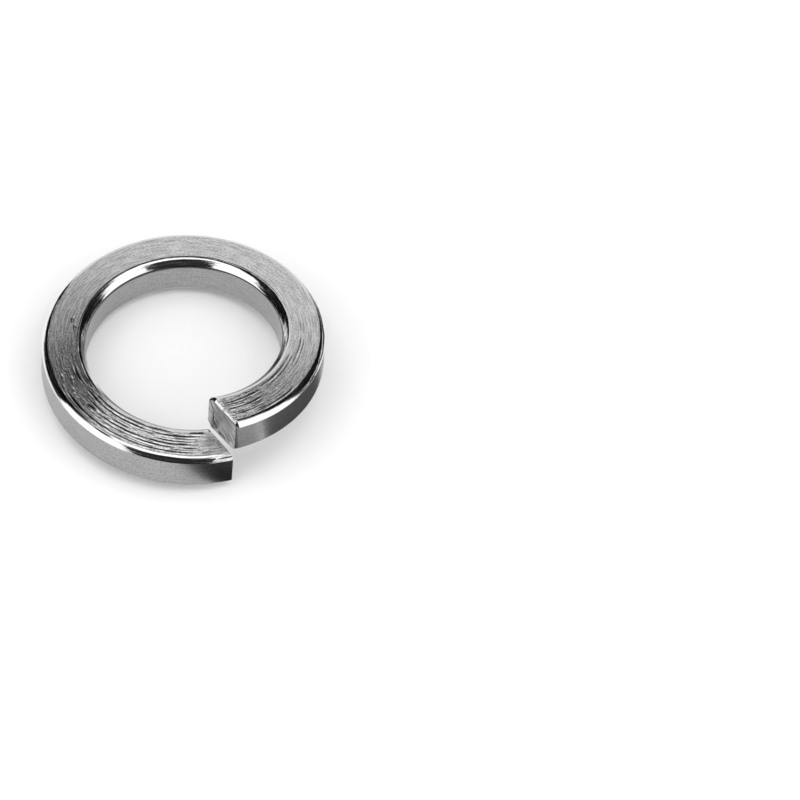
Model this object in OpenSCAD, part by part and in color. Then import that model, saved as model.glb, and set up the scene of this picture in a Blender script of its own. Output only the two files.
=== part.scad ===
// Spring lock washer: one turn of square steel wire, coiled left-handed and sheared through.
// +Z runs along the bolt's axis, and the origin is at the bottom centre.

/* [Wire] */
// Diameter of the hole that the bolt passes through
bore_d = 16.6; // [14:0.1:24]
// Width of the wire, from the bore to the rim
wire_w = 3.7; // [2.8:0.1:6]
// Thickness of the wire at the bore
wire_t = 3.9; // [2.8:0.05:6]
// How much thinner the coiling has drawn the wire at the rim
rim_thinning = 0.4; // [0:0.05:0.7]

/* [Spring] */
// Clear height between the lower end's top face and the raised end's underside
end_rise = 0.15; // [0.05:0.05:3]
// Width of the split, measured square to the cut
split_gap = 0.15; // [0.05:0.05:2]
// Angle of the shear cut to the radial line, seen from above
shear_angle = 19; // [0:1:30]
// Bearing of the split round the axis, from +X towards +Y
split_bearing = 270; // [0:1:359]

/* [Edges] */
// Width of the rounded edges at the bore
bore_edge_w = 0.65; // [0.4:0.05:1]
// Height of the rounded edges at the bore
bore_edge_h = 0.7; // [0.3:0.02:0.8]
// Width of the rounded edges at the rim
rim_edge_w = 0.46; // [0.4:0.02:1]
// Height of the rounded edges at the rim
rim_edge_h = 0.5; // [0.3:0.02:0.7]
// Roundness of the edges, from 0 for a straight bevel to 1 for a full round
edge_roundness = 0.6; // [0.3:0.05:0.7]

/* [Smoothness] */
// Steps round the coil
coil_steps = 96; // [48:12:144]
// Steps over each rounded edge
edge_steps = 4; // [3:1:6]

/* [Hidden] */

bore_r = bore_d / 2;
rim_r = bore_r + wire_w;
middle_r = (bore_r + rim_r) / 2;

// The wire climbs by this much in a full turn, so its two ends clear each other by the end rise.
pitch = wire_t + end_rise;

// The wire is swept this much past both walls, which are then trimmed to true cylinders.
trim = 0.05;
// Height of the trimming cylinders, which pass the coil by a wire's thickness at both ends
trim_h = pitch + 3 * wire_t;
// Facets of the trimming cylinders
trim_fn = 180;

// Height of the wire's top face over the wire's foot, which falls towards the rim.
function top_at(r) = wire_t - rim_thinning / 2 * (r - bore_r) / wire_w;

// Points over a rounded edge, as a curve from the face to the wall that leans out to the sharp corner.
// The last point lies past the wall, on the line of the last step.
function top_edge(wall_r, inward, w, h) =
    let (
        corner = [wall_r, top_at(wall_r)],
        start = [wall_r + inward * w, top_at(wall_r + inward * w)],
        finish = corner - [0, h],
        pull = (start + finish) / 2 * (1 - edge_roundness) + corner * edge_roundness,
        arc = [
            for (i = [0 : edge_steps])
                let (u = i / edge_steps)
                start * pow(1 - u, 2) + pull * 2 * u * (1 - u) + finish * pow(u, 2)
        ],
        before = arc[edge_steps - 1],
        run = finish - before
    )
    [for (i = [0 : edge_steps]) i < edge_steps ? arc[i] : before + run * (1 + trim / abs(run[0]))];

function mirrored(points) = [for (p = points) [p[0], wire_t - p[1]]];
function backwards(points) = [for (i = [len(points) - 1 : -1 : 0]) points[i]];

// Outline of the wire as [radius, height] points, from the top face round by the bore to the rim
bore_edge = top_edge(bore_r, 1, bore_edge_w, bore_edge_h);
rim_edge = top_edge(rim_r, -1, rim_edge_w, rim_edge_h);
wire_outline = concat(
    bore_edge,
    backwards(mirrored(bore_edge)),
    mirrored(rim_edge),
    backwards(rim_edge)
);

// Bearing from the split at which a radius meets the straight plane of the cut.
// Side -1 is the lower end's plane, and side 1 the raised end's.
function cut_bearing(r, side) =
    shear_angle + asin((side * split_gap / 2 - middle_r * sin(shear_angle)) / r);

// Bearing from the split of a radius at a share of the way round, clockwise from the lower end
function coil_bearing(r, share) =
    let (start = cut_bearing(r, -1), finish = cut_bearing(r, 1) - 360)
    start + share * (finish - start);

// A point of the outline carried round the coil. The wire climbs in step with its bearing.
function coil_point(p, share) =
    let (bearing = coil_bearing(p[0], share), turned = split_bearing + bearing)
    [p[0] * cos(turned), p[0] * sin(turned), p[1] - pitch * bearing / 360];

// Height of the lower end's foot, at whichever edge of the underside is lower
foot_z = min([for (edge = [bore_edge, rim_edge]) coil_point(mirrored(edge)[0], 0)[2]]);

// The coiled wire, wider than the washer by the trim on both walls
module swept_wire() {
    ring = len(wire_outline);
    points = [for (i = [0 : coil_steps]) for (p = wire_outline) coil_point(p, i / coil_steps)];
    sides = [
        for (i = [0 : coil_steps - 1])
            for (j = [0 : ring - 1])
                let (a = i * ring + j, b = i * ring + (j + 1) % ring, c = b + ring, d = a + ring)
                each [[a, c, b], [a, d, c]]
    ];
    lower_end = [for (j = [0 : ring - 1]) j];
    raised_end = [for (j = [ring - 1 : -1 : 0]) coil_steps * ring + j];
    polyhedron(points, concat([lower_end], sides, [raised_end]));
}

// An upright cylinder about the axis that clears the coil above and below
module trimming_cylinder(r) {
    translate([0, 0, -wire_t]) cylinder(r = r, h = trim_h, $fn = trim_fn);
}

// The coiled wire with its bore and its rim trimmed to true cylinders, standing on z = 0
module spring_washer() {
    color("silver")
    translate([0, 0, -foot_z])
    intersection() {
        difference() {
            swept_wire();
            trimming_cylinder(bore_r);
        }
        trimming_cylinder(rim_r);
    }
}

spring_washer();
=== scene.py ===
"""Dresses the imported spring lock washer: its coil of drawn wire, its sheared ends and the studio."""

import logging
import math
from dataclasses import dataclass
from enum import Enum

import bmesh
import bpy
import numpy as np
from bpy.types import Material, Mesh, Node, NodeSocket, NodeTree, Object
from mathutils import Matrix, Vector


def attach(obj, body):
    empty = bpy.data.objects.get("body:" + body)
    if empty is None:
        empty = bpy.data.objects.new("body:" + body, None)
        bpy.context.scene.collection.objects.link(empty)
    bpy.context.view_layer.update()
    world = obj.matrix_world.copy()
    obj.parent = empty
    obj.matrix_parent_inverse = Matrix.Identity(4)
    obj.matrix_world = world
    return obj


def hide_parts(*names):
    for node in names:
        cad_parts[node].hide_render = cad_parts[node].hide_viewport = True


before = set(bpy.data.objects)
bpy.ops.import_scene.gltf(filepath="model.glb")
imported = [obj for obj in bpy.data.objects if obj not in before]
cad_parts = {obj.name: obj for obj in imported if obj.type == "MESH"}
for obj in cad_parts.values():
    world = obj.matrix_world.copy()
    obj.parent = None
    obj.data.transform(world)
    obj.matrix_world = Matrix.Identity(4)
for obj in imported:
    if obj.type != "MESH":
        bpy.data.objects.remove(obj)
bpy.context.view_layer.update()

MM = 0.001
WIRE_NODE = "spring_washer"
WIRE_MAP = "wire_mm"
FLOOR_NAME = "paper_floor"

# Pairs of a place and the value there, with the places rising
Profile = tuple[tuple[float, float], ...]
# One value, or an array of them
Values = np.ndarray | float

log = logging.getLogger("spring_washer")


def linear(hex_code: str) -> tuple[float, float, float, float]:
    """Turn an sRGB hex colour into a linear one.

    Args:
        hex_code: The colour, such as "#B9BAB8".

    Returns:
        Red, green, blue and an alpha of one.
    """
    shares = [int(hex_code[i : i + 2], 16) / 255 for i in (1, 3, 5)]
    linear_shares = [c / 12.92 if c <= 0.04045 else ((c + 0.055) / 1.055) ** 2.4 for c in shares]
    return *linear_shares, 1.0


def level(at: Values, profile: Profile) -> Values:
    """Read a profile, which is straight between its places and stays level beyond them."""
    places, values = zip(*profile)
    return np.interp(at, places, values)


def add_node(
    tree: NodeTree,
    kind: str,
    settings: dict | None = None,
    values: dict | None = None,
    links: dict | None = None,
) -> Node:
    """Add a node to a tree, with its settings and its links.

    Args:
        tree: The material's or the world's node tree.
        kind: The node's type, such as "ShaderNodeBump".
        settings: The node's own properties and what they are set to.
        values: Input sockets, by name or number, and their constants.
        links: Input sockets, by name or number, and what feeds them: an output or a node's first one.

    Returns:
        The new node.
    """
    node = tree.nodes.new(kind)
    for name, value in (settings or {}).items():
        setattr(node, name, value)
    for socket, value in (values or {}).items():
        node.inputs[socket].default_value = value
    for socket, source in (links or {}).items():
        output = source.outputs[0] if isinstance(source, Node) else source
        tree.links.new(output, node.inputs[socket])
    return node


def empty_material(name: str) -> Material:
    """Make a node material with nothing in it.

    Args:
        name: The material's name.

    Returns:
        The material.
    """
    material = bpy.data.materials.new(name)
    material.use_nodes = True
    material.node_tree.nodes.clear()
    return material


class End(Enum):
    """The two sheared ends, by the side of the cut on which each one's plane lies."""

    LOWER = -1
    RAISED = 1


@dataclass(frozen=True)
class RoundedEdge:
    """One of the wire's rounded edges. Sizes are in millimetres.

    Its leans are shares of its length from the face to the wall, each with the slope there in degrees.
    """

    width: float
    height: float
    leans: Profile


@dataclass(frozen=True)
class WireSection:
    """The section that drawing and coiling leave on the square wire. Sizes are in millimetres.

    The edge and wall shares say where a rounded edge and a wall have points. The points lie close
    together where the surface turns, and beside both ends of a wall.
    """

    width: float = 3.7
    thickness: float = 3.9
    thinning: float = 0.4
    bore_edge: RoundedEdge = RoundedEdge(
        0.74,
        0.66,
        ((0, 2), (0.12, 7), (0.2, 15), (0.3, 33), (0.36, 43), (0.84, 44), (0.9, 72), (1, 76)),
    )
    rim_edge: RoundedEdge = RoundedEdge(
        0.56,
        0.42,
        ((0, 3), (0.12, 9), (0.2, 16), (0.32, 33), (0.42, 43), (0.66, 46), (0.76, 55), (1, 60)),
    )
    edge_shares: tuple[float, ...] = (
        (0, 0.04, 0.08, 0.12, 0.17, 0.23, 0.3, 0.37) + (0.46, 0.6, 0.74, 0.84, 0.89, 0.95, 1)
    )
    edge_samples: int = 1001
    face_steps: int = 84
    wall_steps: int = 20
    wall_beside: tuple[float, ...] = (0, 0.012, 0.03, 0.05)
    wall_inset: float = 0.09
    # Underneath, the rounded edges keep this share of the burnish, so they read darker: painted shade under
    # the washer.
    under_burnish_shade: float = 0.15

    @property
    def edge_steps(self) -> int:
        """Steps over each rounded edge."""
        return len(self.edge_shares) - 1

    @property
    def columns(self) -> int:
        """Steps from the bore to the rim, both rounded edges included."""
        return self.face_steps + 2 * self.edge_steps

    def top_at(self, across: Values) -> Values:
        """Height of the sharp top face at a distance from the bore."""
        return self.thickness - self.thinning / 2 * across / self.width

    def rounded(self, wall: float, inward: float, edge: RoundedEdge) -> np.ndarray:
        """Curve from a wall over its top edge onto the face.

        Args:
            wall: Distance of the wall from the bore.
            inward: 1 where the face lies outward of the wall, else -1.
            edge: The edge's sizes and leans.

        Returns:
            Rows of distance from the bore and height, from the wall to the face.
        """
        along = np.linspace(0, 1, self.edge_samples)
        slope = np.radians(level(along, edge.leans))
        run = np.interp(self.edge_shares, along, np.cumsum(np.cos(slope)) - 1)
        fall = np.interp(self.edge_shares, along, np.cumsum(np.sin(slope)))
        run, fall = (run - run[0]) / np.ptp(run), (fall - fall[0]) / np.ptp(fall)
        reach = wall + inward * edge.width
        drop = self.top_at(reach) - (self.top_at(wall) - edge.height)
        across = reach - inward * edge.width * run
        return np.column_stack([across, self.top_at(reach) - drop * fall])[::-1]

    def top_row(self) -> np.ndarray:
        """Curve from the bore wall over the top to the rim wall.

        Returns:
            Rows of distance from the bore and height.
        """
        bore = self.rounded(0.0, 1, self.bore_edge)
        rim = self.rounded(self.width, -1, self.rim_edge)[::-1]
        across = np.linspace(bore[-1, 0], rim[0, 0], self.face_steps + 1)[1:-1]
        return np.vstack([bore, np.column_stack([across, self.top_at(across)]), rim])

    def wall_shares(self) -> np.ndarray:
        """Spread a wall's points over its height.

        Returns:
            The share of the height at each point, from 0 to 1.
        """
        beside = np.array(self.wall_beside)
        between = self.wall_steps + 1 - 2 * len(beside)
        middle = np.linspace(self.wall_inset, 1 - self.wall_inset, between)
        return np.concatenate([beside, middle, 1 - beside[::-1]])

    def outline(self) -> np.ndarray:
        """Close the outline: over the top, down the rim, back under and up the bore.

        Returns:
            Rows of distance from the bore and height.
        """
        top = self.top_row()
        bottom = top * [1, -1] + [0, self.thickness]
        share = self.wall_shares()[1:-1, None]
        rim = top[-1] + (bottom[-1] - top[-1]) * share
        bore = bottom[0] + (top[0] - bottom[0]) * share
        return np.vstack([top, rim, bottom[::-1], bore])

    def normals(self) -> np.ndarray:
        """Find which way the surface faces round the outline.

        Returns:
            Rows of the outward normal's parts, away from the bore and upward.
        """
        outline = self.outline()
        ahead = np.roll(outline, -1, axis=0) - np.roll(outline, 1, axis=0)
        normal = np.column_stack([-ahead[:, 1], ahead[:, 0]])
        return normal / np.linalg.norm(normal, axis=1)[:, None]

    def border_index(self, column: int, row: int) -> int:
        """Number in the outline of a point on the border of an end's grid.

        Args:
            column: Its column, from the bore to the rim.
            row: Its row, from the bottom to the top.

        Returns:
            The point's number.
        """
        if row == self.wall_steps:
            return column
        if column == self.columns:
            return self.columns + self.wall_steps - row
        if row == 0:
            return 2 * self.columns + self.wall_steps - column
        return 2 * self.columns + self.wall_steps + row

    def burnished(self) -> np.ndarray:
        """Find how bright the die has burnished the wire: the rounded edges. Underneath they get less, so
        they read darker: painted shade under the washer.

        Returns:
            A value from 0 to 1 for each point of the outline.
        """
        bright = np.zeros(self.columns + 1)
        bright[: self.edge_steps + 1] = 1.0
        bright[-self.edge_steps - 1 :] = 1.0
        over = np.zeros(2 * (self.columns + self.wall_steps))
        over[: self.columns + 1] = bright
        first = self.columns + self.wall_steps
        over[first : first + self.columns + 1] = self.under_burnish_shade * bright
        return over


@dataclass(frozen=True)
class ScoreMarks:
    """Grooves that the rolls and the coiling tool leave along the wire's faces. Sizes are in millimetres.

    Each score is a distance from the bore, the shares of the coil where it starts and ends, and how
    deep it is next to the deepest. Each burr is a distance from the bore and a share of the coil.
    The fine drawing lines lie at random, within the ranges given as shares of the width and the coil.
    """

    seed: int = 11
    scores: tuple[tuple[float, float, float, float], ...] = (
        (0.86, 0.004, 0.195, 0.7),
        (1.19, 0.004, 0.205, 1.0),
        (1.42, 0.010, 0.125, 0.5),
        (1.68, 0.115, 0.200, 0.75),
        (1.73, 0.014, 0.090, 0.65),
        (2.05, 0.026, 0.195, 1.0),
        (2.24, 0.100, 0.180, 0.5),
        (2.38, 0.030, 0.185, 0.75),
        (2.60, 0.038, 0.160, 0.5),
        (2.81, 0.036, 0.225, 0.9),
        (3.02, 0.050, 0.235, 0.55),
        (0.98, 0.205, 0.255, 0.3),
        (1.28, 0.215, 0.265, 0.45),
        (1.02, 0.840, 0.993, 0.25),
        (1.24, 0.930, 0.999, 1.0),
        (1.46, 0.950, 0.997, 0.9),
        (1.60, 0.770, 0.870, 0.2),
        (1.68, 0.955, 0.997, 0.9),
        (1.90, 0.940, 0.999, 1.0),
        (2.12, 0.960, 0.997, 0.8),
        (2.36, 0.930, 0.997, 0.8),
        (2.58, 0.950, 0.997, 0.9),
        (2.80, 0.965, 0.995, 0.5),
        (2.98, 0.900, 0.988, 0.35),
    )
    depth: float = 0.046
    half_width: float = 0.066
    run_in: float = 0.9
    wander: float = 0.03
    kept: float = 0.9
    varied: float = 0.85
    faintest: float = 0.2
    ridge_share: float = 0.75
    ridge_away: float = 0.17
    break_length: float = 1.2

    fine: int = 150
    fine_places: tuple[float, float] = (0.02, 0.98)
    fine_middles: tuple[float, float] = (-0.02, 1.02)
    fine_halves: tuple[float, float] = (0.008, 0.05)
    fine_depth: float = 0.0014
    fine_half_width: float = 0.045
    fine_wander: float = 0.02
    fine_fade: float = 0.4
    fine_calm: float = 3.0

    burrs: tuple[tuple[float, float], ...] = (
        (1.90, 0.234),
        (2.85, 0.230),
        (1.40, 0.335),
        (2.15, 0.190),
        (2.30, 0.218),
        (1.05, 0.320),
        (2.60, 0.245),
    )
    burr_height: float = 0.055
    burr_radius: float = 0.08
    burr_stretch: float = 1.6

    def uneven(self, draws: np.random.RandomState, share: np.ndarray, length: float) -> np.ndarray:
        """Draw random values from -1 to 1 that change smoothly along the coil.

        Args:
            draws: The seeded source of the values.
            share: Share of the coil at each step.
            length: The coil's length in millimetres.

        Returns:
            A value for each step.
        """
        knots = np.linspace(0, 1, max(2, int(length / self.break_length)))
        spots = np.interp(share, knots, np.arange(len(knots)))
        low = np.minimum(spots.astype(int), len(knots) - 2)
        ease = spots - low
        ease = ease * ease * (3 - 2 * ease)
        values = draws.uniform(-1, 1, len(knots))
        return values[low] * (1 - ease) + values[low + 1] * ease

    def relief(
        self, across: np.ndarray, share: np.ndarray, width: float, length: float
    ) -> np.ndarray:
        """How deep the marks cut at each point of one face, or below zero how far they stand proud.

        Args:
            across: Distance from the bore of each column, in millimetres.
            share: Share of the coil at each step.
            width: The wire's width.
            length: The coil's length.

        Returns:
            Depth in millimetres, with a row for each step and a column for each distance.
        """
        draws = np.random.RandomState(self.seed)
        depth = np.zeros((len(share), len(across)))
        for place, start, finish, strength in self.scores:
            path = place + self.wander * self.uneven(draws, share, length)
            broken = self.kept + self.varied * self.uneven(draws, share, length)
            inside = np.minimum(share - start, finish - share) * length
            strong = np.clip(broken, self.faintest, 1) * np.clip(inside / self.run_in, 0, 1)
            off = (across[None, :] - path[:, None]) / self.half_width
            ridge = np.exp(-((off - self.ridge_away / self.half_width) ** 2))
            profile = np.exp(-(off**2)) - self.ridge_share * ridge
            depth += self.depth * strength * strong[:, None] * profile
        for _ in range(self.fine):
            place, middle = draws.uniform(*self.fine_places) * width, draws.uniform(*self.fine_middles)
            half, cut = draws.uniform(*self.fine_halves), draws.uniform(-1.0, 1.0)
            path = place + self.fine_wander * self.uneven(draws, share, length / self.fine_calm)
            fade = np.clip((half - np.abs(share - middle)) / (self.fine_fade * half), 0, 1)
            profile = np.exp(-(((across[None, :] - path[:, None]) / self.fine_half_width) ** 2))
            depth += self.fine_depth * cut * fade[:, None] * profile
        for place, spot in self.burrs:
            middle = share[np.argmin(np.abs(share - spot))]
            along = (share[:, None] - middle) * length / self.burr_stretch
            away = along**2 + (across[None, :] - place) ** 2
            depth -= self.burr_height * np.exp(-away / self.burr_radius**2)
        return depth


@dataclass(frozen=True)
class EdgeShadeLines:
    """Dark lines painted along the burnished edges, the facet beside the ends and the ends' corners: painted
    shade and painted dark reflections. The knocked line is wear on the battered rim beside the lower end.

    Each profile gives how dark a line is at shares of the coil, from 0 to 1. Each pair is how dark
    a line is at its faintest, and how much of the rest varies along it.
    """

    back: Profile = ((0.16, 0.0), (0.22, 1.0), (0.68, 1.0), (0.74, 0.25))
    back_last: tuple[float, float] = (0.35, 0.35)
    back_border: tuple[float, float] = (0.4, 0.3)
    wall: float = 0.55
    wall_columns: int = 3
    under: Profile = ((0.3, 0.35), (0.35, 1.0), (0.57, 1.0), (0.62, 0.35))
    under_columns: tuple[float, ...] = (0.3, 0.45, 0.5)
    front: Profile = ((0.17, 0.66), (0.22, 0.0), (0.82, 0.0), (0.86, 0.66))
    front_from: float = 0.28
    gap: Profile = ((0.125, 0.0), (0.145, 1.0), (0.23, 1.0), (0.25, 0.0), (0.9, 0.0), (0.93, 0.75))
    gap_line: tuple[float, float] = (0.3, 0.45)
    gap_columns: tuple[int, int] = (4, 7)
    corner: float = 0.75
    corner_steps: int = 5
    wedge: float = 0.85
    wedge_columns: int = 9
    knocked: Profile = ((0.0112, 0.8), (0.0192, 0.0))
    knocked_column: int = 9

    def draw(
        self, score: np.ndarray, share: np.ndarray, vary: np.ndarray, section: WireSection, lip: int
    ) -> None:
        """Paint the lines: painted shade, painted dark reflections and the knocked line.

        Args:
            score: How dark each point of each ring is. It is changed in place.
            share: Share of the coil at each ring.
            vary: How the lines vary from ring to ring, from 0 to 1.
            section: The wire's section.
            lip: How many rings lie on the raised end's lip.
        """
        border, columns = section.edge_steps, section.columns
        outer = columns - border
        # Painted shade and painted dark reflections along the bore edge: where it meets the face, at the
        # bore wall's top corner and just under it.
        back = level(share, self.back)
        score[:, border - 1] = self.back_last[0] + self.back_last[1] * back
        score[:, border] = (self.back_border[0] + self.back_border[1] * vary) * back
        score[:, : self.wall_columns] = self.wall
        under = np.array(self.under_columns)
        score[:, -len(under) :] = under * level(share, self.under)[:, None]
        # The facet is what lies beyond the edge's first bend, from the face. Beside both ends it is painted
        # dark: painted shade along the bore edge's silhouette.
        facet = np.where(np.array(section.edge_shares)[::-1] > self.front_from)[0]
        score[:, facet] = np.maximum(score[:, facet], level(share, self.front)[:, None])
        # A painted dark reflection along the rim edge.
        gap = (self.gap_line[0] + self.gap_line[1] * vary) * level(share, self.gap)
        first, last = self.gap_columns
        score[:, outer + first : outer + last] = gap[:, None]
        # Painted shade at the ends: the lower end's bore corner, the raised end's wedge and its outline.
        score[: self.corner_steps, : border + 2] = self.corner
        score[-lip:, border - self.wedge_columns : border] = self.wedge
        score[-1, columns:] = self.corner
        knocked = outer + self.knocked_column
        score[:, knocked] = np.maximum(score[:, knocked], level(share, self.knocked))


@dataclass(frozen=True)
class TornFace:
    """The raised end's face: the line along which the metal broke, and what the blade smeared.

    Sizes are in millimetres. The line runs down beside the bore, from which it bends away below the
    top, and turns round a radius to run along the foot. The dark and bright profiles give how strong
    each tone is at distances from the rim, the top, the line and the chipped spot.
    """

    across: float = 0.72
    height: float = 0.45
    radius: float = 1.0
    depth: float = 0.04
    half_width: float = 0.06
    bend: Profile = ((0.495, 0.15), (1.6, 1.0))
    fade: Profile = ((2.0, 1.0), (2.9, 0.0))
    dark_by_rim: Profile = ((0.096, 0.85), (0.216, 0.0))
    dark_by_top: Profile = ((0.24, 0.55), (0.44, 0.0))
    bright_outside: Profile = ((0.05, 0.0), (0.15, 0.25))
    chip: tuple[float, float] = (3.15, 0.5)
    bright_chip: Profile = ((0.15, 1.2), (0.4, 0.0))

    def inside(self, across: float, height: float, section: WireSection) -> float:
        """How far a spot lies inside the torn line.

        Args:
            across: The spot's distance from the bore.
            height: Its height in the section.
            section: The wire's section.

        Returns:
            The distance, below zero outside the line.
        """
        lean = level(section.thickness - height, self.bend)
        inside, above = across - self.across * lean, height - self.height
        if inside < self.radius and above < self.radius:
            return self.radius - math.hypot(self.radius - inside, self.radius - above)
        return min(inside, above)

    def groove(self, across: float, height: float, section: WireSection) -> float:
        """How deep the torn groove is at a spot, next to the deepest."""
        off = self.inside(across, height, section) / self.half_width
        return level(across, self.fade) * math.exp(-(off**2))

    def tone(self, across: float, height: float, section: WireSection) -> float:
        """How dark a spot is, and below zero how brightly the blade smeared it.

        Args:
            across: The spot's distance from the bore.
            height: Its height in the section.
            section: The wire's section.

        Returns:
            The tone, from -1 or less for bright to 1 for dark.
        """
        by_rim = level(section.width - across, self.dark_by_rim)
        by_top = level(section.top_at(across) - height, self.dark_by_top)
        rolled = level(-self.inside(across, height, section), self.bright_outside)
        chipped = level(math.dist((across, height), self.chip), self.bright_chip)
        return max(by_rim, by_top, self.groove(across, height, section)) - rolled - chipped


@dataclass(frozen=True)
class Grain:
    """A noise pattern with its grains drawn out along the wire's own map. Sizes are in millimetres."""

    length: float
    width: float
    detail: float
    slant_deg: float = 0.0
    roughness: float = 0.6

    def build(self, tree: NodeTree) -> Node:
        """Add the pattern to a material.

        Args:
            tree: The material's node tree.

        Returns:
            The noise, whose first output is the pattern.
        """
        wire = add_node(tree, "ShaderNodeUVMap", {"uv_map": WIRE_MAP})
        turn = {"Rotation": (0, 0, math.radians(self.slant_deg))}
        turned = add_node(tree, "ShaderNodeMapping", values=turn, links={"Vector": wire})
        scale = {"Scale": (1 / self.length, 1 / self.width, 1)}
        drawn = add_node(tree, "ShaderNodeMapping", values=scale, links={"Vector": turned})
        return add_node(
            tree,
            "ShaderNodeTexNoise",
            {"noise_dimensions": "2D"},
            {"Scale": 1.0, "Detail": self.detail, "Roughness": self.roughness},
            {"Vector": drawn},
        )


@dataclass(frozen=True)
class Layer:
    """A colour or a roughness that covers another as far as a pattern says.

    The pattern's range from low to high becomes a cover from bare to full, held at both ends.
    """

    over: str | float
    low: float = 0.0
    high: float = 1.0
    bare: float = 0.0
    full: float = 1.0

    def build(
        self,
        tree: NodeTree,
        under: NodeSocket | tuple | float,
        pattern: NodeSocket | Node,
        where: NodeSocket | None = None,
    ) -> NodeSocket:
        """Lay it over what is there.

        Args:
            tree: The material's node tree.
            under: What it covers: an output, or the constant at the bottom.
            pattern: What says how much of it shows.
            where: What keeps it to a part of the surface, if anything does.

        Returns:
            The covered colour or roughness.
        """
        ends = {"From Min": self.low, "From Max": self.high, "To Min": self.bare, "To Max": self.full}
        share = add_node(tree, "ShaderNodeMapRange", values=ends, links={"Value": pattern})
        if where is not None:
            product = {"operation": "MULTIPLY"}
            share = add_node(tree, "ShaderNodeMath", product, links={0: share, 1: where})
        is_colour = isinstance(self.over, str)
        values = {"B": linear(self.over) if is_colour else self.over}
        links = {"Factor": share}
        (links if isinstance(under, NodeSocket) else values)["A"] = under
        kind = {"data_type": "RGBA" if is_colour else "FLOAT"}
        return add_node(tree, "ShaderNodeMix", kind, values, links).outputs["Result"]


def metal(
    tree: NodeTree,
    colour: NodeSocket,
    rough: NodeSocket,
    height: Node,
    height_mm: float,
) -> None:
    """End a tree in bare metal.

    Args:
        tree: The material's node tree.
        colour: The metal's colour.
        rough: Its roughness.
        height: Its relief, as a share of the height.
        height_mm: The relief's height in millimetres.
    """
    relief = {"Strength": 1.0, "Distance": height_mm * MM}
    bump = add_node(tree, "ShaderNodeBump", values=relief, links={"Height": height})
    links = {"Base Color": colour, "Roughness": rough, "Normal": bump}
    steel = add_node(tree, "ShaderNodeBsdfPrincipled", values={"Metallic": 1.0}, links=links)
    add_node(tree, "ShaderNodeOutputMaterial", links={"Surface": steel})


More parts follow.
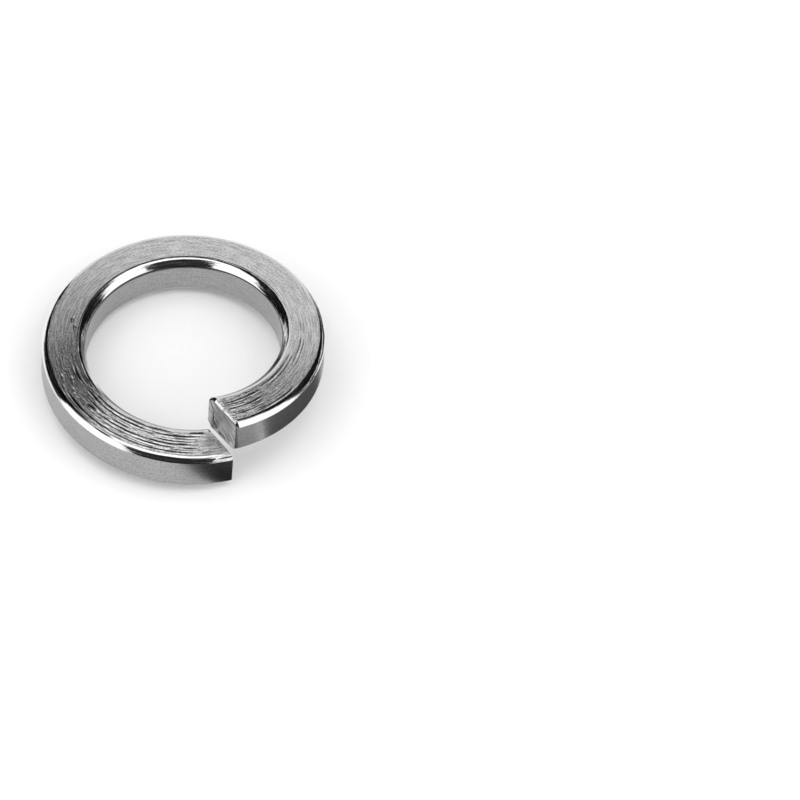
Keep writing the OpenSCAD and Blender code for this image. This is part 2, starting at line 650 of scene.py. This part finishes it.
@dataclass(frozen=True)
class RolledStainless:
    """Stainless wire, drawn and rolled square, then coiled. It is bare metal.

    A pixel of the photograph's view is 0.09 mm wide. Real drawing lines, scuffs and pits are 0.01 to
    0.05 mm wide and would not show, so each pattern is drawn as coarse as it needs to show. The
    relief is in heights of the grain, which is height_mm high. Each pair is for a surface without
    scuffs or burnish, and for one with.
    """

    # The rolled faces are satin: what they mirror is soft, and a fine grain along the wire breaks it.
    light: str = "#E6E6E6"
    smooth: float = 0.13
    height_mm: float = 0.0018
    lines: Grain = Grain(1.6, 0.12, 2.0)
    specks: Grain = Grain(0.169, 0.13, 3.0)
    dark_lines: Layer = Layer("#A4A4A4", 0.86, 1.14, 0.75, 0.0)
    rough_specks: Layer = Layer(0.25, 0.3, 0.7)

    # The coiling stretched and squeezed the flanks, so they are duller and slightly sandy. Their colour is
    # also painted darker than the faces': painted shade on the walls.
    flank: Layer = Layer("#ADADAD")
    flank_mottle: Layer = Layer("#949494", 0.96, 1.28)
    flank_satin: Layer = Layer(0.3)
    mottle_grain: float = 0.6

    # The rounded edges slid in the die, so they shine in narrow bright lines with drawn-out dull streaks.
    burnished: Layer = Layer("#EAEAEA")
    burnished_shine: Layer = Layer(0.07)
    dull_streaks: Layer = Layer(0.22, 0.5, 0.66)
    drawn: Grain = Grain(3.5, 0.1, 1.0)
    drawn_heights: tuple[float, float] = (0.6, 2.4)
    ripple: Grain = Grain(1.2, 0.28, 1.0)
    ripple_heights: tuple[float, float] = (0.0, 4.0)

    # Beside the ends the coiling tool has scuffed the faces: smeared bright, with painted shade in the
    # scuffs' dents.
    scuffs: Grain = Grain(1.1, 0.1, 2.0)
    scuffed: Layer = Layer("#EAEAEA", 0.5, 0.62)
    scuffed_shine: Layer = Layer(0.09)
    scuff_dent_shade: Layer = Layer("#1C1C1C", 0.42, 0.32, 0.0, 0.75)
    scuff_heights: tuple[float, float] = (0.0, 24.0)

    # Dirt sits in the pits, so they are nearly black. The scores and the edge lines are painted near black:
    # painted shade in the grooves, and painted shade and dark reflections along the edges.
    pits: Grain = Grain(0.17, 0.17, 3.0)
    pit_dirt: Layer = Layer("#1C1C1C", 0.735, 0.77)
    painted_score_shade: Layer = Layer("#1C1C1C", 0.18, 0.58)

    def build(self) -> Material:
        """Make the material. Its patterns follow the wire's own map, which is in millimetres.

        Returns:
            The material.
        """
        material = empty_material("rolled_stainless_wire")
        tree = material.node_tree
        burnish, flank, score, worked = [
            add_node(tree, "ShaderNodeAttribute", {"attribute_name": name}).outputs["Fac"]
            for name in ("burnish", "flank", "score", "worked")
        ]
        patterns = (self.lines, self.specks, self.scuffs, self.drawn, self.ripple, self.pits)
        lines, specks, scuffs, drawn, ripple, pits = [p.build(tree) for p in patterns]
        grain = add_node(tree, "ShaderNodeMath", {"operation": "ADD"}, links={0: lines, 1: specks})
        scaled = {"operation": "MULTIPLY_ADD"}
        mottle = add_node(tree, "ShaderNodeMath", scaled, {1: self.mottle_grain}, {0: grain, 2: pits})
        colour = linear(self.light)
        for layer, pattern, where in (
            (self.dark_lines, grain, None),
            # The flanks are painted darker: painted shade on the walls.
            (self.flank, flank, None),
            (self.flank_mottle, mottle, flank),
            (self.burnished, burnish, None),
            (self.scuffed, scuffs, worked),
            # Painted shade in the scuffs' dents.
            (self.scuff_dent_shade, scuffs, worked),
            (self.pit_dirt, pits, None),
            # Painted shade in the scores and along the edge lines.
            (self.painted_score_shade, score, None),
        ):
            colour = layer.build(tree, colour, pattern, where)
        rough = self.smooth
        for layer, pattern, where in (
            (self.rough_specks, specks, None),
            (self.scuffed_shine, worked, None),
            (self.flank_satin, flank, None),
            (self.burnished_shine, burnish, None),
            (self.dull_streaks, drawn, burnish),
        ):
            rough = layer.build(tree, rough, pattern, where)
        height = grain
        for pattern, where, (plain, full) in (
            (scuffs, worked, self.scuff_heights),
            (drawn, burnish, self.drawn_heights),
            (ripple, burnish, self.ripple_heights),
        ):
            ends = {"To Min": plain, "To Max": full}
            weight = add_node(tree, "ShaderNodeMapRange", values=ends, links={"Value": where})
            links = {0: pattern, 1: weight, 2: height}
            height = add_node(tree, "ShaderNodeMath", scaled, links=links)
        metal(tree, colour, rough, height, self.height_mm)
        return material


@dataclass(frozen=True)
class ShearedStainless:
    """The wire's ends as the blade left them. It is the same bare metal, rougher than the rolled faces.

    Where the blade entered it smeared the metal bright, and where the metal broke it is torn and
    dark. Drag lines slant down the face, the way the blade went. They are really about 0.03 mm wide,
    and are drawn coarser to show.
    """

    light: str = "#FCFCFC"
    smooth: float = 0.28
    height_mm: float = 0.012
    drag: Grain = Grain(1.5, 0.16, 2.0, 38)
    specks: Grain = Grain(0.15, 0.15, 2.0)
    speck_height: float = 0.5
    dark_drag: Layer = Layer("#B4B4B4", 0.38, 0.6, 1.0, 0.0)
    rough_specks: Layer = Layer(0.4, 0.3, 0.7)
    torn: Layer = Layer("#393939", 0.1, 0.8)
    smeared: Layer = Layer("#FAFAFA", -0.1, -0.8)

    def build(self) -> Material:
        """Make the material.

        Returns:
            The material.
        """
        material = empty_material("sheared_stainless_end")
        tree = material.node_tree
        score = add_node(tree, "ShaderNodeAttribute", {"attribute_name": "score"}).outputs["Fac"]
        drag, specks = self.drag.build(tree), self.specks.build(tree)
        colour = linear(self.light)
        for layer, pattern in ((self.dark_drag, drag), (self.torn, score), (self.smeared, score)):
            colour = layer.build(tree, colour, pattern)
        rough = self.rough_specks.build(tree, self.smooth, specks)
        scaled = {"operation": "MULTIPLY_ADD"}
        height = add_node(tree, "ShaderNodeMath", scaled, {1: self.speck_height}, {0: specks, 2: drag})
        metal(tree, colour, rough, height, self.height_mm)
        return material


@dataclass
class CoiledWire:
    """The washer: one turn of the wire, climbing clockwise from the lower end.

    Sizes are in millimetres, and profiles along the wire are at shares of the coil. The section is
    carried along in rings of points. The blade pulled the raised end's top edge over into a lip.
    The coiling tool pressed hardest beside both ends, but spared the top beside the lower cut, where
    the rim's edge is battered instead.
    """

    section: WireSection = WireSection()
    marks: ScoreMarks = ScoreMarks()
    lines: EdgeShadeLines = EdgeShadeLines()
    torn_face: TornFace = TornFace()
    bore_r: float = 8.3
    end_rise: float = 0.15
    split_gap: float = 0.15
    shear_deg: float = 19.0
    split_bearing_deg: float = 270.0
    coil_steps: int = 334

    lip_width: float = 0.27
    lip_depth: float = 0.31
    lip_steps: int = 7
    lip_spread: float = 1.5
    lip_curve: float = 1.1
    lip_at_bore: float = 0.88
    lip_narrows: float = 0.34
    lip_ragged: float = 0.12
    lip_ragged_length: float = 12.0
    lip_turn: Profile = ((0.0, 0.25), (1.0, 1.0))
    lip_clears: Profile = ((0.7, 0.0), (1.7, 1.0))

    marked: Profile = ((0.5, 0.0), (1.0, 1.0))
    flank: Profile = ((0.0, 1.0), (0.5, 0.0))
    darkest: float = 0.6
    pressed_plain: float = 0.04
    pressed_lower: Profile = ((0.195, 0.85), (0.235, 0.0))
    pressed_raised: Profile = ((0.89, 0.0), (0.96, 0.9))
    spared: float = 0.7
    spared_across: Profile = ((0.8, 0.0), (1.7, 1.0))
    spared_along: Profile = ((0.01, 1.0), (0.03, 0.0))
    battered: Profile = ((1.2, 1.0), (2.2, 0.0))
    battered_share: float = 0.009
    battered_ragged: float = 0.5
    battered_ragged_length: float = 60.0
    battered_dulls: float = 0.7

    @property
    def pitch(self) -> float:
        """How far the wire climbs in a full turn."""
        return self.section.thickness + self.end_rise

    @property
    def middle_r(self) -> float:
        """Radius of the middle of the wire."""
        return self.bore_r + self.section.width / 2

    @property
    def length(self) -> float:
        """Length of the coil along the middle of the wire."""
        return 2 * math.pi * self.middle_r

    def shares(self) -> np.ndarray:
        """Spread the rings along the coil, close together at both ends.

        Returns:
            The share of the coil at each ring.
        """
        lip = self.lip_width / self.length * np.linspace(0, 1, self.lip_steps + 1) ** self.lip_spread
        middle = np.linspace(lip[-1], 1 - lip[-1], self.coil_steps + 1)[1:-1]
        return np.concatenate([lip, middle, 1 - lip[::-1]])

    def cut_bearing(self, radius: np.ndarray, end: End) -> np.ndarray:
        """Find where a radius meets the plane of an end.

        Args:
            radius: The radius, or an array of them.
            end: Which end.

        Returns:
            The bearing from the split, in radians.
        """
        shear = math.radians(self.shear_deg)
        offset = end.value * self.split_gap / 2 - self.middle_r * math.sin(shear)
        return shear + np.arcsin(offset / radius)

    def place(self, across: Values, height: Values, share: Values) -> np.ndarray:
        """Carry points of the section round the coil.

        Args:
            across: Distance of each point from the bore.
            height: Height of each point in the section.
            share: Share of the coil, from the lower end.

        Returns:
            Points in millimetres, in the part's own frame but for the foot's height.
        """
        radius = self.bore_r + across
        start = self.cut_bearing(radius, End.LOWER)
        finish = self.cut_bearing(radius, End.RAISED) - 2 * math.pi
        bearing = start + share * (finish - start)
        turned = math.radians(self.split_bearing_deg) + bearing
        climb = -self.pitch * bearing / (2 * math.pi)
        return np.stack([radius * np.cos(turned), radius * np.sin(turned), height + climb], axis=-1)

    def foot(self) -> float:
        """Find the lower end's foot before the coil is stood on z = 0.

        Returns:
            Its height, at whichever edge of the underside is lower.
        """
        section = self.section
        inner = section.bore_edge.width
        outer = section.width - section.rim_edge.width
        feet = [self.place(a, section.thickness - section.top_at(a), 0.0)[2] for a in (inner, outer)]
        return float(min(feet))

    def lip_reach(self, across: np.ndarray) -> np.ndarray:
        """Find how far back from the raised end the lip reaches.

        Args:
            across: Distance from the bore of each point of the outline.

        Returns:
            The reach at each of them.
        """
        draws = np.random.RandomState(self.marks.seed + 2)
        out = across / self.section.width
        ragged = self.lip_ragged * self.marks.uneven(draws, out, self.lip_ragged_length)
        return self.lip_width * (self.lip_at_bore - self.lip_narrows * out + ragged)

    def lip(self, share: np.ndarray, across: np.ndarray) -> np.ndarray:
        """How far each point of each ring lies down the lip, from 0 to 1."""
        from_raised = (1 - share) * self.length
        return np.clip(1 - from_raised[:, None] / self.lip_reach(across)[None, :], 0, 1)

    def rings(self) -> tuple[np.ndarray, np.ndarray, np.ndarray]:
        """Shape the rings, with their marks and the lip.

        Returns:
            Three arrays with a row for each ring: its points' distances from the bore, their heights, and
                how dark their scores and painted shade lines are.
        """
        share, normal = self.shares(), self.section.normals()
        across, height = self.section.outline().T
        depth = self.marks.relief(across, share, self.section.width, self.length)
        clean = level((1 - share) * self.length / self.lip_width, self.lip_clears)
        depth *= clean[:, None] * level(np.abs(normal[:, 1]), self.marked)[None, :]
        # Deeper grooves are painted darker: painted shade in the scores.
        score = np.clip(depth / (self.darkest * self.marks.depth), 0, 1)
        draws = np.random.RandomState(self.marks.seed + 1)
        vary = 0.5 + 0.5 * self.marks.uneven(draws, share, self.length)
        self.lines.draw(score, share, vary, self.section, self.lip_steps)
        fall = self.lip_depth / self.lip_width * self.lip_reach(across)
        fall *= level(normal[:, 1], self.lip_turn)
        depth += self.lip(share, across) ** self.lip_curve * fall[None, :]
        return across - normal[:, 0] * depth, height - normal[:, 1] * depth, score

    def end_face(
        self, end: End, across: np.ndarray, height: np.ndarray, count: int
    ) -> tuple[list[np.ndarray], list[float], list[tuple[int, ...]]]:
        """Close an end with a grid.

        Args:
            end: Which end.
            across: Distance from the bore of each point of each ring.
            height: Height of each point of each ring.
            count: How many points the mesh has so far.

        Returns:
            The points that the grid adds, how dark each one is, and the grid's faces.
        """
        section, up = self.section, self.section.wall_shares()
        columns, rows = section.columns, section.wall_steps
        step = 0 if end is End.LOWER else len(across) - 1
        share = self.shares()[step]
        numbers = np.zeros((columns + 1, rows + 1), dtype=int)
        points, tones, faces = [], [], []
        for column in range(columns + 1):
            for row in range(rows + 1):
                if column in (0, columns) or row in (0, rows):
                    border = section.border_index(column, row)
                    numbers[column, row] = step * across.shape[1] + border
                    continue
                top = np.array([across[step, column], height[step, column]])
                low = section.border_index(column, 0)
                foot = np.array([across[step, low], height[step, low]])
                spot = foot + (top - foot) * up[row]
                back = tone = 0.0
                if end is End.RAISED:
                    groove = self.torn_face.groove(*spot, section)
                    back = self.torn_face.depth / self.length * groove
                    tone = self.torn_face.tone(*spot, section)
                numbers[column, row] = count + len(points)
                points.append(self.place(spot[0], spot[1], share - back))
                tones.append(tone)
        for column in range(columns):
            for row in range(rows):
                near, far = numbers[column, row : row + 2], numbers[column + 1, row : row + 2]
                quad = (int(near[0]), int(far[0]), int(far[1]), int(near[1]))
                faces.append(quad if end is End.LOWER else quad[::-1])
        return points, tones, faces

    def mesh(self) -> Mesh:
        """Build the closed mesh of the coil and its two ends.

        Returns:
            The mesh, in metres.
        """
        across, height, score = self.rings()
        rings, ring = across.shape
        share = self.shares()
        points = self.place(across, height, share[:, None]).reshape(-1, 3)
        after = [(j + 1) % ring for j in range(ring)]
        faces = [
            (here + j, here + after[j], here + ring + after[j], here + ring + j)
            for here in range(0, (rings - 1) * ring, ring)
            for j in range(ring)
        ]
        joined, tones = len(faces), []
        for end in End:
            added, dark, grid = self.end_face(end, across, height, len(points))
            points = np.vstack([points, added])
            tones += dark
            faces += grid
        points[:, 2] -= self.foot()
        mesh = bpy.data.meshes.new("coiled_wire")
        mesh.from_pydata((points * MM).tolist(), [], faces)
        mesh.validate()
        self.map_wire(mesh, points, joined)
        self.tell_wear_and_shade(mesh, np.concatenate([score.ravel(), tones]))
        mesh.polygons.foreach_set("use_smooth", [True] * len(faces))
        mesh.polygons.foreach_set("material_index", [0] * joined + [1] * (len(faces) - joined))
        self.crease(mesh, ring, rings)
        return mesh

    def map_wire(self, mesh: Mesh, points: np.ndarray, joined: int) -> None:
        """Give the mesh a map in millimetres: along the wire, and round its section.

        Args:
            mesh: The coil's mesh.
            points: All the mesh's points.
            joined: How many faces come before the ends' own.
        """
        outline = self.section.outline()
        steps = np.linalg.norm(np.diff(outline, axis=0, append=outline[:1]), axis=1)
        around = np.concatenate([[0], np.cumsum(steps)])
        along = self.shares() * self.length
        coords = []
        for near, far in zip(along, along[1:]):
            for a, b in zip(around, around[1:]):
                coords += [near, a, near, b, far, b, far, a]
        for polygon in list(mesh.polygons)[joined:]:
            for vertex in polygon.vertices:
                x, y, z = points[vertex]
                coords += [math.hypot(x, y) - self.bore_r, z]
        layer = mesh.uv_layers.new(name=WIRE_MAP)
        layer.data.foreach_set("uv", coords)

    def pressed(self, share: np.ndarray, across: np.ndarray) -> np.ndarray:
        """Find how hard the coiling tool scuffed the wire. It pressed most beside both ends.

        Args:
            share: Share of the coil at each ring.
            across: Distance from the bore of each point of the outline.

        Returns:
            A value from 0 to 1, with a row for each ring.
        """
        spared = level(across, self.spared_across)[None, :] * level(share, self.spared_along)[:, None]
        lower = level(share, self.pressed_lower)[:, None] * (1 - self.spared * spared)
        return self.pressed_plain + lower + level(share, self.pressed_raised)[:, None]

    def tell_wear_and_shade(self, mesh: Mesh, score: np.ndarray) -> None:
        """Tell the materials, point by point, how burnished, dull, dark and scuffed the wire is, with its
        painted shade.

        Args:
            mesh: The coil's mesh.
            score: How dark each point is.
        """
        share, section = self.shares(), self.section
        across = section.outline()[:, 0]
        order = np.arange(len(across))
        on_top = order <= section.columns
        flank = level(np.abs(section.normals()[:, 1]), self.flank)
        burnish = np.maximum(section.burnished()[None, :], self.lip(share, across) * on_top[None, :])
        draws = np.random.RandomState(self.marks.seed + 3)
        uneven = self.marks.uneven(draws, across / section.width, self.battered_ragged_length)
        ragged = self.battered_share * (1 + self.battered_ragged * uneven)
        by_rim = on_top & (order > section.columns - section.edge_steps)
        battered = by_rim[None, :] * level(share[:, None] / ragged[None, :], self.battered)
        burnish *= 1 - self.battered_dulls * battered
        worked = self.pressed(share, across) * (1 - burnish) * (1 - flank)[None, :]
        # The score carries the scores' painted shade and the painted edge lines. The burnish is lower
        # underneath, as painted shade.
        for name, values in (
            ("burnish", burnish.ravel()),
            ("flank", np.tile(flank, len(share))),
            ("score", score),
            ("worked", np.maximum(worked, battered).ravel()),
        ):
            all_points = np.zeros(len(mesh.vertices))
            all_points[: len(values)] = values
            layer = mesh.attributes.new(name, "FLOAT", "POINT")
            layer.data.foreach_set("value", all_points)

    def crease(self, mesh: Mesh, ring: int, rings: int) -> None:
        """Mark the sharp lines: both ends' outlines, and where the rounded top edges meet the walls.

        Args:
            mesh: The coil's mesh.
            ring: How many points a ring has.
            rings: How many rings there are.
        """
        corners = (0, self.section.columns)
        pairs = np.zeros(2 * len(mesh.edges), dtype=np.int32)
        mesh.edges.foreach_get("vertices", pairs)
        one, two = pairs.reshape(-1, 2).T
        on_wire = (one < ring * rings) & (two < ring * rings)
        same = one // ring == two // ring
        at_end = np.isin(one // ring, (0, rings - 1))
        along = (one % ring == two % ring) & np.isin(one % ring, corners)
        sharp = on_wire & ((same & at_end) | (~same & along))
        layer = mesh.attributes.new("sharp_edge", "BOOLEAN", "EDGE")
        layer.data.foreach_set("value", sharp)

    def build(self) -> Object:
        """Make the washer's piece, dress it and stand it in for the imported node.

        Returns:
            The piece.
        """
        mesh = self.mesh()
        mesh.materials.append(RolledStainless().build())
        mesh.materials.append(ShearedStainless().build())
        piece = bpy.data.objects.new("coiled_wire", mesh)
        bpy.context.scene.collection.objects.link(piece)
        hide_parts(WIRE_NODE)
        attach(piece, "root")
        return piece


def direction(bearing_deg: float, rise_deg: float) -> Vector:
    """Turn a bearing and an elevation into a direction.

    Args:
        bearing_deg: From +X towards +Y.
        rise_deg: Above the level.

    Returns:
        A vector of length one.
    """
    bearing, rise = math.radians(bearing_deg), math.radians(rise_deg)
    level_share = math.cos(rise)
    return Vector((math.cos(bearing) * level_share, math.sin(bearing) * level_share, math.sin(rise)))


def flat_piece(name: str, size: tuple[float, float], material: Material) -> Object:
    """Make a flat rectangle.

    Args:
        name: Its name, and its mesh's.
        size: Width and height in metres.
        material: What it is made of.

    Returns:
        The piece, lying at the origin and facing up.
    """
    half_w, half_h = size[0] / 2, size[1] / 2
    corners = [(x * half_w, y * half_h, 0) for x, y in ((-1, -1), (1, -1), (1, 1), (-1, 1))]
    mesh = bpy.data.meshes.new(name)
    mesh.from_pydata(corners, [], [(0, 1, 2, 3)])
    mesh.materials.append(material)
    piece = bpy.data.objects.new(name, mesh)
    bpy.context.scene.collection.objects.link(piece)
    return piece


def seen_share(tree: NodeTree) -> Node:
    """Tell a ray that sees a surface, directly or in metal or glass, from one that gathers its light.

    Args:
        tree: The material's or the world's node tree.

    Returns:
        The node that gives 1 for camera, glossy and transmission rays, and 0 for the others.
    """
    path = add_node(tree, "ShaderNodeLightPath")
    seen = path.outputs["Is Camera Ray"]
    for ray in ("Is Glossy Ray", "Is Transmission Ray"):
        links = {0: seen, 1: path.outputs[ray]}
        seen = add_node(tree, "ShaderNodeMath", {"operation": "MAXIMUM"}, links=links)
    return seen


@dataclass
class PaperFloor:
    """White paper, in the plane on which the washer rests by itself. Lengths are in metres."""

    width: float = 0.8
    near: float = 0.035
    far: float = 0.085
    gap: float = 0.00002
    steepest: float = 0.5
    paper: str = "#F4F4F4"
    lift: float = 0.02

    def rest(self, node: Object) -> tuple[Vector, Vector]:
        """Find the plane on which a solid comes to rest.

        Args:
            node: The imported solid.

        Returns:
            A point of the plane, and its upward normal.
        """
        hull = bmesh.new()
        hull.from_mesh(node.data)
        centre = sum((v.co for v in hull.verts), Vector()) / len(hull.verts)
        made = bmesh.ops.convex_hull(hull, input=hull.verts)
        plane = (centre, Vector((0, 0, 1)))
        for face in [f for f in made["geom"] if isinstance(f, bmesh.types.BMFace)]:
            normal = face.normal.copy()
            if (face.calc_center_median() - centre).dot(normal) > 0:
                normal.negate()
            if normal.z < self.steepest:
                continue
            foot = centre - normal * (centre - face.verts[0].co).dot(normal)
            corners = [v.co for v in face.verts]
            sides = [
                (b - a).cross(foot - a).dot(normal)
                for a, b in zip(corners, corners[1:] + corners[:1])
            ]
            if all(s >= 0 for s in sides) or all(s <= 0 for s in sides):
                plane = (foot, normal)
        hull.free()
        return plane

    def material(self) -> Material:
        """Make matt white paper. It keeps the washer's shadow, and runs out into plain white.

        Its lift is a faint glow that only the eye sees, and from below it is clear.

        Returns:
            The material.
        """
        material = empty_material("matt_white_paper")
        tree = material.node_tree
        place = add_node(tree, "ShaderNodeTexCoord").outputs["Object"]
        distance = add_node(tree, "ShaderNodeVectorMath", {"operation": "LENGTH"}, links={0: place})
        run_out = add_node(
            tree,
            "ShaderNodeMapRange",
            {"interpolation_type": "SMOOTHSTEP"},
            {"From Min": self.near, "From Max": self.far},
            {"Value": distance.outputs["Value"]},
        )
        seen = seen_share(tree)
        product = {"operation": "MULTIPLY"}
        lift = add_node(tree, "ShaderNodeMath", product, {1: self.lift}, {0: seen})
        paper = add_node(tree, "ShaderNodeBsdfDiffuse", values={"Color": linear(self.paper)})
        glow = add_node(tree, "ShaderNodeEmission", links={"Strength": lift})
        lifted = add_node(tree, "ShaderNodeAddShader", links={0: paper, 1: glow})
        white = add_node(tree, "ShaderNodeEmission", links={"Strength": seen})
        surface = add_node(tree, "ShaderNodeMixShader", links={0: run_out, 1: lifted, 2: white})
        clear = add_node(tree, "ShaderNodeBsdfTransparent")
        back = add_node(tree, "ShaderNodeNewGeometry").outputs["Backfacing"]
        one_sided = add_node(tree, "ShaderNodeMixShader", links={0: back, 1: surface, 2: clear})
        add_node(tree, "ShaderNodeOutputMaterial", links={"Surface": one_sided})
        return material

    def build(self, node: Object) -> None:
        """Lay the paper under a solid.

        Args:
            node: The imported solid.
        """
        foot, normal = self.rest(node)
        floor = flat_piece(FLOOR_NAME, (self.width, self.width), self.material())
        turn = normal.to_track_quat("Z", "Y").to_matrix().to_4x4()
        floor.matrix_world = Matrix.Translation(foot - normal * self.gap) @ turn
        log.info("floor tilt %.2f degrees", math.degrees(normal.angle((0, 0, 1))))


def mirrored_card(name: str, size: tuple[float, float], tone: str, glow: float = 1.0) -> Object:
    """Make a flat card that shows in the metal alone.

    Args:
        name: Its name, and its material's.
        size: Width and height in metres.
        tone: How light it is, as an sRGB hex colour.
        glow: How many times as bright as that it shines.

    Returns:
        The card, lying at the origin.
    """
    material = empty_material(name)
    tree = material.node_tree
    light = {"Color": linear(tone), "Strength": glow}
    face = add_node(tree, "ShaderNodeEmission", values=light)
    add_node(tree, "ShaderNodeOutputMaterial", links={"Surface": face})
    piece = flat_piece(name, size, material)
    piece.visible_camera = False
    piece.visible_diffuse = False
    piece.visible_shadow = False
    return piece


@dataclass(frozen=True)
class Card:
    """A panel of the studio, facing the washer. Bearings are the photograph's: 270 is towards the camera."""

    name: str
    bearing_deg: float
    elevation_deg: float
    width_deg: float
    height_deg: float
    distance: float = 0.4

    def pose(self, turn_deg: float) -> Matrix:
        """Where the panel stands.

        Args:
            turn_deg: From the photograph's bearings to the part's.

        Returns:
            Its matrix, with the panel's front along -Z as a lamp's is.
        """
        away = direction(self.bearing_deg + turn_deg, self.elevation_deg)
        turn = away.to_track_quat("Z", "Y").to_matrix().to_4x4()
        return Matrix.Translation(away * self.distance) @ turn

    def size(self) -> tuple[float, float]:
        """Width and height in metres."""
        halves = (math.radians(self.width_deg / 2), math.radians(self.height_deg / 2))
        return tuple(2 * self.distance * math.tan(half) for half in halves)


@dataclass(frozen=True)
class Softbox(Card):
    """A lamp behind diffusing cloth. The metal sees the cloth alone, so the lamp can't burn it out."""

    radiance: float = 1.0
    cloth_glow: float = 1.3

    def build(self, turn_deg: float) -> None:
        """Hang the lamp and its cloth.

        Args:
            turn_deg: From the photograph's bearings to the part's.
        """
        cloth = mirrored_card(f"{self.name}_cloth", self.size(), "#FFFFFF", self.cloth_glow)
        cloth.matrix_world = self.pose(turn_deg)
        lamp = bpy.data.lights.new(self.name, "AREA")
        lamp.shape = "RECTANGLE"
        lamp.size, lamp.size_y = self.size()
        lamp.energy = self.radiance * math.pi * lamp.size * lamp.size_y
        piece = bpy.data.objects.new(self.name, lamp)
        bpy.context.scene.collection.objects.link(piece)
        piece.matrix_world = self.pose(turn_deg)
        piece.visible_glossy = False


@dataclass(frozen=True)
class Flag(Card):
    """A dark card that only the metal sees."""

    tone: str = "#101010"

    def build(self, turn_deg: float) -> None:
        """Stand the card, turned from the photograph's bearings to the part's."""
        piece = mirrored_card(self.name, self.size(), self.tone)
        piece.matrix_world = self.pose(turn_deg)


@dataclass(frozen=True)
class FloorCard:
    """A dark card lying on the paper, which only the metal sees. Places are the photograph's, in metres."""

    name: str
    centre: tuple[float, float]
    size: tuple[float, float]
    tone: str = "#202020"
    gap: float = 0.00005

    def build(self, turn_deg: float) -> None:
        """Lay the card.

        Args:
            turn_deg: From the photograph's bearings to the part's.
        """
        piece = mirrored_card(self.name, self.size, self.tone)
        turn = Matrix.Rotation(math.radians(turn_deg), 4, "Z")
        place = turn @ Vector((*self.centre, 0))
        floor = bpy.data.objects[FLOOR_NAME]
        up = floor.matrix_world.to_quaternion() @ Vector((0, 0, 1))
        place.z += (floor.matrix_world.translation - place).dot(up) / up.z + self.gap
        tilt = up.to_track_quat("Z", "Y").to_matrix().to_4x4()
        piece.matrix_world = Matrix.Translation(place) @ tilt @ turn


@dataclass
class Studio:
    """Soft lamps, cards and a white world."""

    turn_deg: float = -25.1
    fill: float = 0.76
    panels: tuple[Softbox | Flag | FloorCard, ...] = (
        Softbox("overhead_softbox", 270, 87, 75, 50, 0.45, radiance=1.3, cloth_glow=1.4),
        Softbox("left_softbox", 215, 22, 54, 52, 0.45, radiance=1.1),
        Softbox("right_softbox", 335, 20, 56, 52, 0.45, radiance=1.1),
        Flag("camera_card", 276, 25, 58, 70, 0.35, "#2A2A2A"),
        Flag("back_gap_card", 90, 63, 70, 13, 0.35),
        Flag("left_gap_card", 142, 65, 32, 14, 0.34),
        Flag("right_gap_card", 45, 61.5, 40, 14, 0.34),
        Flag("left_back_card", 156, 28, 62, 66, 0.35),
        Flag("right_back_card", 37.5, 24, 66, 66, 0.35),
        FloorCard("front_floor_card", (0.0053, -0.0162), (0.0058, 0.0112), "#262626"),
        FloorCard("right_floor_card", (0.0155, -0.0041), (0.0094, 0.0130), "#606060"),
        FloorCard("right_near_card", (0.0111, -0.0126), (0.0058, 0.0038), "#BEBEBE"),
        FloorCard("right_far_card", (0.0530, 0.0220), (0.0650, 0.0500), "#303030"),
    )

    def world(self) -> None:
        """White where it is seen, directly or in the metal, and a plain fill elsewhere."""
        world = bpy.data.worlds.new("white_tent")
        world.use_nodes = True
        world.cycles.sampling_method = "NONE"
        bpy.context.scene.world = world
        tree = world.node_tree
        tree.nodes.clear()
        ends = {"To Min": self.fill, "To Max": 1.0}
        seen = seen_share(tree)
        strength = add_node(tree, "ShaderNodeMapRange", values=ends, links={"Value": seen})
        tent = add_node(tree, "ShaderNodeBackground", links={"Strength": strength})
        add_node(tree, "ShaderNodeOutputWorld", links={"Surface": tent})

    def build(self) -> None:
        """Set up the world and the panels."""
        self.world()
        for panel in self.panels:
            panel.build(self.turn_deg)
            log.info("studio: %s", panel.name)


@dataclass
class PhotoCamera:
    """The camera, as fitted to the photograph. Lengths are in metres."""

    bearing_deg: float = -115.1
    elevation_deg: float = 49.414
    roll_deg: float = 6.886
    distance: float = 0.34352
    aside: float = 0.018767
    above: float = -0.001634
    lens_mm: float = 180.0
    sensor_mm: float = 36.0
    near: float = 0.01
    far: float = 5.0

    def build(self) -> None:
        """Set up the camera. It looks past the washer by what lies aside and above."""
        roll = math.radians(self.roll_deg)
        back = direction(self.bearing_deg, self.elevation_deg)
        flat = direction(self.bearing_deg + 90, 0)
        right = flat * math.cos(roll) + back.cross(flat) * math.sin(roll)
        up = back.cross(right)
        camera = bpy.data.cameras.new("photo_camera")
        camera.lens, camera.sensor_width = self.lens_mm, self.sensor_mm
        camera.clip_start, camera.clip_end = self.near, self.far
        piece = bpy.data.objects.new("photo_camera", camera)
        bpy.context.scene.collection.objects.link(piece)
        eye = back * self.distance + right * self.aside + up * self.above
        turn = Matrix((right, up, back)).transposed().to_4x4()
        piece.matrix_world = Matrix.Translation(eye) @ turn
        bpy.context.scene.camera = piece


def main() -> None:
    """Build the washer, the studio and the camera, in that order."""
    logging.basicConfig(level=logging.INFO, format="%(name)s: %(message)s")
    bpy.context.scene.view_settings.view_transform = "Standard"
    washer = CoiledWire().build()
    log.info("piece: %s, %d faces", washer.name, len(washer.data.polygons))
    PaperFloor().build(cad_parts[WIRE_NODE])
    Studio().build()
    PhotoCamera().build()


if __name__ == "__main__":
    main()
